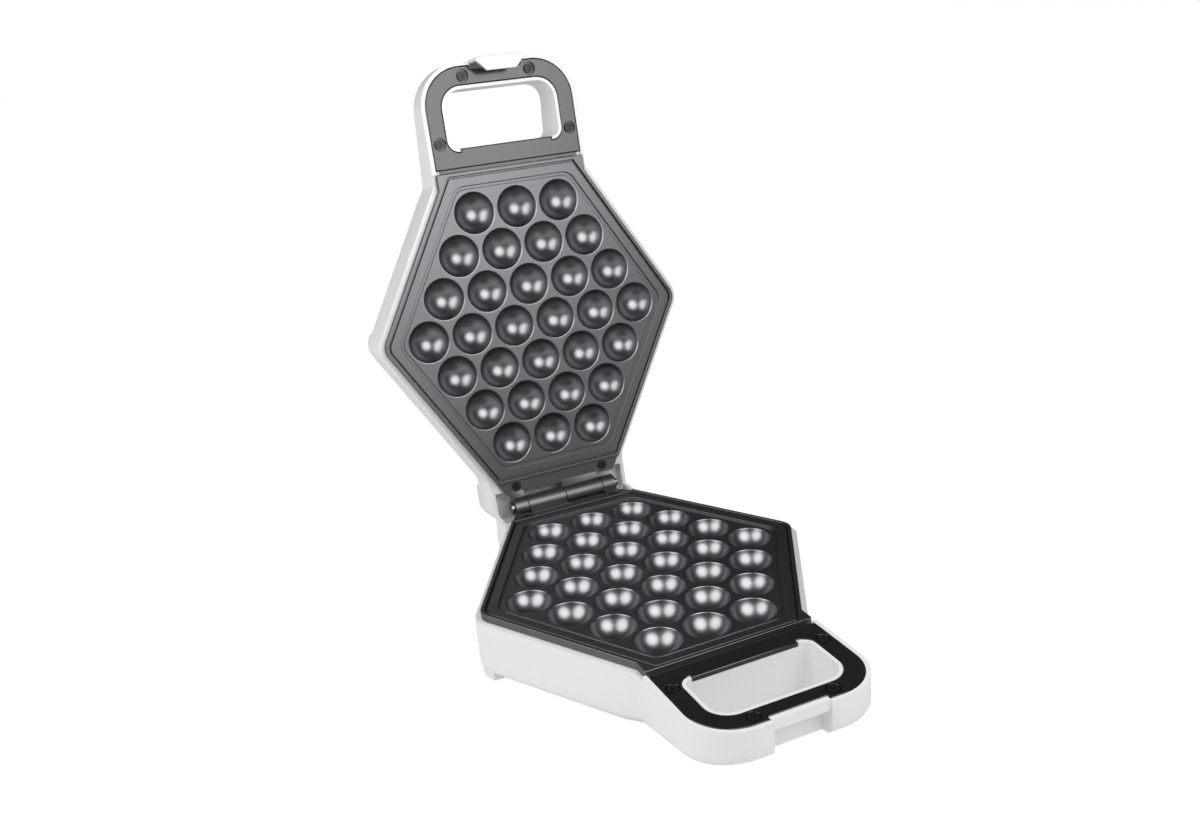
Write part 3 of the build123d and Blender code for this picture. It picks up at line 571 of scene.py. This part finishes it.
# one cup as radius and height against the way along its section: sphere, rounded rim, short flat
def cupSection(look):
    depth, rim, soft = look["cupDepth"], look["rimRadius"], look["rimRound"]
    sphere = (rim**2 + depth**2) / (2 * depth)
    centre = look["fieldHeight"] + sphere - depth
    drop = centre - look["fieldHeight"] + soft
    reach = math.sqrt((sphere + soft) ** 2 - drop**2)
    last = math.asin(reach / (sphere + soft))
    angle = np.linspace(0, last, look["cupRings"] + 1)[1:]
    ball = np.stack([sphere * np.sin(angle), centre - sphere * np.cos(angle)], axis=1)
    turn = np.linspace(last, 0, look["rimSteps"] + 1)[1:]
    rimArc = np.stack([reach - soft * np.sin(turn), centre - drop + soft * np.cos(turn)], axis=1)
    flat = np.array([[reach + flatGap, look["fieldHeight"]]])
    return np.concatenate([ball, rimArc, flat]), centre - sphere


# the dome under a cup: the sphere one wall thickness outside the cup's, down to the slab's underside
def domeSection(look):
    depth, rim = look["cupDepth"], look["rimRadius"]
    sphere = (rim**2 + depth**2) / (2 * depth)
    centre = look["fieldHeight"] + sphere - depth
    outer = sphere + look["cupWall"]
    last = math.acos((centre - look["slabHeight"]) / outer)
    angle = np.linspace(0, last, look["domeRings"] + 1)[1:]
    ball = np.stack([outer * np.sin(angle), centre - outer * np.cos(angle)], axis=1)
    return ball, centre - outer


# rows along X, one pitch between neighbours, each row centred; the rows are pitch times cos 30 apart
def cupCentres(look):
    rows = look["rows"]
    return np.array([
        ((place - (count - 1) / 2) * look["cupPitch"], (row - len(rows) // 2) * look["cupPitch"] * cos30)
        for row, count in enumerate(rows) for place in range(count)
    ])


# a round dish or dome turned about every cup centre; the first vertex of each is its pole
def turnedDishes(section, pole, centres, spokes, start):
    angle = np.arange(spokes) * 2 * math.pi / spokes
    ring = np.stack([np.cos(angle), np.sin(angle)], axis=1)
    flat = section[:, None, :1] * ring[None]
    height = np.broadcast_to(section[:, None, 1:], flat.shape[:2] + (1,))
    dish = np.concatenate([flat, height], axis=2).reshape(-1, 3)
    dish = np.concatenate([[(0, 0, pole)], dish])
    shifts = np.concatenate([centres, np.zeros((len(centres), 1))], axis=1)
    points = (dish[None] + shifts[:, None]).reshape(-1, 3)
    quads = ringFaces(len(section), spokes, 1)
    offsets = start + np.arange(len(centres)) * len(dish)
    quads = (quads[None] + offsets[:, None, None]).reshape(-1, 4)
    around = np.arange(spokes)
    cap = np.stack([np.zeros_like(around), around + 1, (around + 1) % spokes + 1], axis=1)
    cap = (cap[None] + offsets[:, None, None]).reshape(-1, 3)
    return points, quads, cap


# bands and slab are loops stacked from the field outwards and down; each cup is a dish with a dome below,
# and the field and the underside are filled in between
def makeCasting(name, look, place, node, body):
    section = withSupports(bandSection(look))
    loops = []
    for out, height in section:
        loop = castingLoop(look, out, ears=out > look["lipOut"] - look["earDepth"])
        loops.append(np.column_stack([loop, np.full(len(loop), height)]))
    slabLoop = castingLoop(look, look["lipOut"] - look["slabInset"], ears=False)
    for height in (look["seatHeight"], look["slabHeight"] + wallGap, look["slabHeight"]):
        loops.append(np.column_stack([slabLoop, np.full(len(slabLoop), height)]))
    count = len(loops[0])
    points = np.concatenate(loops)
    quads = ringFaces(len(loops), count)
    centres = cupCentres(look)
    cupRows, cupPole = cupSection(look)
    cups, cupQuads, cupCaps = turnedDishes(cupRows, cupPole, centres, look["cupSpokes"], len(points))
    points = np.concatenate([points, cups])
    domeRows, domePole = domeSection(look)
    domes, domeQuads, domeCaps = turnedDishes(
        domeRows, domePole, centres, look["domeSpokes"], len(points)
    )
    points = np.concatenate([points, domes])
    points = place(points) * mm
    faces = quads.tolist() + cupQuads.tolist() + cupCaps.tolist()
    faces += domeQuads[:, ::-1].tolist() + domeCaps[:, ::-1].tolist()
    mesh = bpy.data.meshes.new(name)
    mesh.from_pydata(points.tolist(), [], faces)
    polish = np.zeros(len(faces), np.float32)
    polish[len(quads):len(quads) + len(cupQuads) + len(cupCaps)] = 1
    mesh.attributes.new("polish", "FLOAT", "FACE").data.foreach_set("value", polish)
    work = bmesh.new()
    work.from_mesh(mesh)
    bmesh.ops.remove_doubles(work, verts=work.verts, dist=2 * mergeDistance)
    rims = [edge for edge in work.edges if edge.is_boundary]
    upper = place(np.array([[0, 0, look["fieldHeight"]]]))[0] * mm
    lower = place(np.array([[0, 0, look["slabHeight"]]]))[0] * mm
    for onLevel in (upper, lower):
        normal = Vector(upper - lower).normalized()
        near = [
            rim for rim in rims if abs((rim.verts[0].co - Vector(onLevel)).dot(normal)) < levelTolerance
        ]
        bmesh.ops.triangle_fill(work, use_beauty=True, use_dissolve=False, edges=near)
    bmesh.ops.recalc_face_normals(work, faces=work.faces)
    openEdges = sum(edge.is_boundary for edge in work.edges)
    work.to_mesh(mesh)
    work.free()
    print(name, len(mesh.polygons), "faces, open edges", openEdges)
    return showPiece(name, mesh, look["sharp"], look["finish"], body, node)


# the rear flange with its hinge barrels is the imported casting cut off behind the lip
def makeHingeEnd(name, look, place, node, body):
    slantReach = (len(look["rows"]) // 2) * look["cupPitch"] * cos30 + look["rimRadius"] + look["lipOut"]
    cut = place(np.array([[0, slantReach, 0], [0, slantReach + 1, 0]])) * mm
    mesh = nodes[node].data.copy()
    work = bmesh.new()
    work.from_mesh(mesh)
    bmesh.ops.remove_doubles(work, verts=work.verts, dist=mergeDistance)
    geometry = work.verts[:] + work.edges[:] + work.faces[:]
    cutEdges = bmesh.ops.bisect_plane(
        work, geom=geometry, dist=cutTolerance, clear_inner=True,
        plane_co=Vector(cut[0]), plane_no=Vector(cut[1] - cut[0]),
    )["geom_cut"]
    rims = [item for item in cutEdges if isinstance(item, bmesh.types.BMEdge)]
    bmesh.ops.triangle_fill(work, use_beauty=True, use_dissolve=False, edges=rims)
    bmesh.ops.dissolve_limit(work, angle_limit=flatAngle, verts=work.verts, edges=work.edges)
    work.to_mesh(mesh)
    work.free()
    piece = showPiece(name, mesh, look["hingeSharp"], look["finish"], body, node)
    bevelEdges(piece, look["hingeEdge"], look["hingeSharp"])
    return piece


# handle trims, millimetres: a flat looped plate with a notch for the latch and four screw recesses
trimLook = {
    "halfWidth": 51.2, "front": -171.292, "rear": -107.392, "frontCorner": 26.0, "rearCorner": 1.5,
    "notchHalf": 17.5, "notchEnd": -168.492, "notchCorner": 0.8,
    "top": 38.3, "bottom": 36.3, "edgeRound": 0.85,
    "gapHalf": 40.3, "gapFront": -159.192, "gapRear": -117.692, "gapFrontCorner": 14.0, "gapRearCorner": 8.0,
    "stepHalf": 32.0, "stepDepth": 2.2, "skirtThickness": 1.6, "skirtBottom": 35.7,
    "tongueHalf": 48.2, "tongueFront": -109.792, "tongueRear": -105.392, "tongueTop": 37.1,
    "screws": ((23.2, -164.992), (45.5, -123.992)), "recess": 4.0, "recessDepth": 1.2, "hole": 1.55,
    "recessRound": 0.3, "recessSpokes": 40, "stepCorner": 0.12,
    "blockCorner": 0.3, "blockEdge": 0.1, "blockSteps": 4, "skirtOverlap": 0.3,
    "outlineSteps": (5, 5, 20, 6, 6, 20, 5, 5), "gapSteps": (16, 12, 3, 3),
    "sharp": 50, "finish": "blackTrim", "slot": "black_plastic",
}


# the tightest corner, and the points of a rounded edge
leastRadius, edgePoints = 0.02, 5


# an outline moved inwards by so much, listed anticlockwise; outer corners tighten and inner ones widen
def insetLoop(corners, radii, counts, inset):
    corners = np.asarray(corners, float)
    runs = np.roll(corners, -1, axis=0) - corners
    runs /= np.linalg.norm(runs, axis=1)[:, None]
    ahead = np.stack([-runs[:, 1], runs[:, 0]], axis=1)
    back, runBack = np.roll(ahead, 1, axis=0), np.roll(runs, 1, axis=0)
    moved = corners + inset * (back + ahead) / (1 + (back * ahead).sum(axis=1))[:, None]
    outer = runBack[:, 0] * runs[:, 1] - runBack[:, 1] * runs[:, 0] > 0
    radii = np.maximum(np.asarray(radii) + np.where(outer, -inset, inset), leastRadius)
    return roundedPath(moved, radii.tolist(), counts)


# quarter round from a flat top down to a side, as inset against height, with a point just inside it
def edgeSection(top, radius):
    angle = np.linspace(0, math.pi / 2, edgePoints)
    arc = np.stack([radius * (1 - np.sin(angle)), top - radius * (1 - np.cos(angle))], axis=1)
    return np.concatenate([[(radius + flatGap, top)], arc, [(0, top - radius - wallGap)]])


# loops of equally many points, one after another, joined by rings of faces
def stackLoops(loops):
    points = np.concatenate([np.column_stack([loop, np.full(len(loop), height)]) for loop, height in loops])
    return points, ringFaces(len(loops), len(loops[0][0]))


# closed block: an outline stacked from top to bottom, with its upper edge rounded
def blockStack(corners, radii, counts, top, bottom, soft):
    section = np.concatenate([edgeSection(top, soft), [(0, bottom)]])
    return stackLoops([(insetLoop(corners, radii, counts, inset), height) for inset, height in section])


def rectangle(x, y):
    return [(x[0], y[0]), (x[1], y[0]), (x[1], y[1]), (x[0], y[1])]


levelDigits = 4  # heights in millimetres that agree so far are one level


# all stacks in one mesh, with the flat tops and bottoms filled between the open loops of a level;
# the last few stacks are solids of their own, and the ones before them outline one plate together
def makeStacked(name, look, stacks, ownSolids, place, body, node):
    sizes = [len(stack) for stack, quads in stacks]
    starts = np.cumsum([0] + sizes[:-1])
    points = np.concatenate([stack for stack, quads in stacks])
    faces = np.concatenate([quads + start for (stack, quads), start in zip(stacks, starts)])
    mesh = bpy.data.meshes.new(name)
    mesh.from_pydata((place(points) * mm).tolist(), [], faces.tolist())
    work = bmesh.new()
    work.from_mesh(mesh)
    level = np.round(points[:, 2], levelDigits)
    solid = np.maximum(np.repeat(np.arange(len(stacks)), sizes) - (len(stacks) - ownSolids - 1), 0)
    groups = {}
    for edge in work.edges:
        if edge.is_boundary:
            first = edge.verts[0].index
            groups.setdefault((level[first], solid[first]), []).append(edge)
    for edges in groups.values():
        bmesh.ops.triangle_fill(work, use_beauty=True, use_dissolve=False, edges=edges)
    bmesh.ops.recalc_face_normals(work, faces=work.faces)
    openEdges = sum(edge.is_boundary for edge in work.edges)
    work.to_mesh(mesh)
    work.free()
    print(name, len(mesh.polygons), "faces, open edges", openEdges)
    return showPiece(name, mesh, look["sharp"], look["finish"], body, node)


# outline, gap and screw recesses make one plate; the skirt and the tongue are blocks of their own
def makeTrim(name, look, place, node, body):
    top, bottom, soft = look["top"], look["bottom"], look["edgeRound"]
    half, front, rear, notch = look["halfWidth"], look["front"], look["rear"], look["notchHalf"]
    outline = [
        (notch, look["notchEnd"]), (notch, front), (half, front), (half, rear),
        (-half, rear), (-half, front), (-notch, front), (-notch, look["notchEnd"]),
    ]
    small, big, tail = look["notchCorner"], look["frontCorner"], look["rearCorner"]
    outlineRadii = [small, small, big, tail, tail, big, small, small]
    stacks = [blockStack(outline, outlineRadii, look["outlineSteps"], top, bottom, soft)]
    gap, gapFront, gapRear = look["gapHalf"], look["gapFront"], look["gapRear"]
    step, stepEnd = look["stepHalf"], gapRear - look["stepDepth"]
    hole = [
        (gap, gapFront), (gap, gapRear), (step, gapRear), (step, stepEnd),
        (-step, stepEnd), (-step, gapRear), (-gap, gapRear), (-gap, gapFront),
    ]
    holeRadii = [look["gapFrontCorner"], look["gapRearCorner"], look["stepCorner"], look["stepCorner"]]
    holeRadii, holeCounts = holeRadii + holeRadii[::-1], look["gapSteps"] + look["gapSteps"][::-1]
    holeSection = np.concatenate([edgeSection(top, soft) * (-1, 1), [(0, bottom)]])
    stacks.append(stackLoops([
        (insetLoop(hole, holeRadii, holeCounts, inset), height) for inset, height in holeSection
    ]))
    turn = np.arange(look["recessSpokes"]) * 2 * math.pi / look["recessSpokes"]
    ring = np.stack([np.cos(turn), np.sin(turn)], axis=1)
    low, recess, bore = top - look["recessDepth"], look["recess"], look["hole"]
    for side in (-1, 1):
        for x, y in look["screws"]:
            rim = edgeSection(top, look["recessRound"]) * (-1, 1)
            section = [(recess - inset, height) for inset, height in rim]
            section += [(recess, low + wallGap), (recess, low), (bore, low), (bore, bottom)]
            stacks.append(stackLoops([(ring * radius + (side * x, y), height) for radius, height in section]))
    skirt = rectangle((-step, step), (stepEnd, stepEnd + look["skirtThickness"]))
    tongue = rectangle(
        (-look["tongueHalf"], look["tongueHalf"]), (look["tongueFront"], look["tongueRear"])
    )
    blocks = [
        (skirt, bottom + look["skirtOverlap"], look["skirtBottom"]), (tongue, look["tongueTop"], bottom)
    ]
    blockRadii, blockCounts = [look["blockCorner"]] * 4, [look["blockSteps"]] * 4
    for corners, blockTop, blockBottom in blocks:
        stacks.append(
            blockStack(corners, blockRadii, blockCounts, blockTop, blockBottom, look["blockEdge"])
        )
    return makeStacked(name, look, stacks, len(blocks), place, body, node)


asItLies = np.asarray
makeTrim("base_trim", trimLook, asItLies, "base_handle_trim", "base")
makeTrim("lid_trim", trimLook, liftToLid, "lid_handle_trim", "lid")
print("handle trims made")

makeCasting("lower_casting", castingLook, asItLies, "lower_plate", "base")
makeCasting("upper_casting", castingLook, liftToLid, "upper_plate", "lid")
makeHingeEnd("lower_hinge_end", castingLook, asItLies, "lower_plate", "base")
makeHingeEnd("upper_hinge_end", castingLook, liftToLid, "upper_plate", "lid")
print("plate castings made")

makeCamera(cameraLook)
makeStudio(studioLook)
makeFloor(studioLook)
print("camera and studio made")
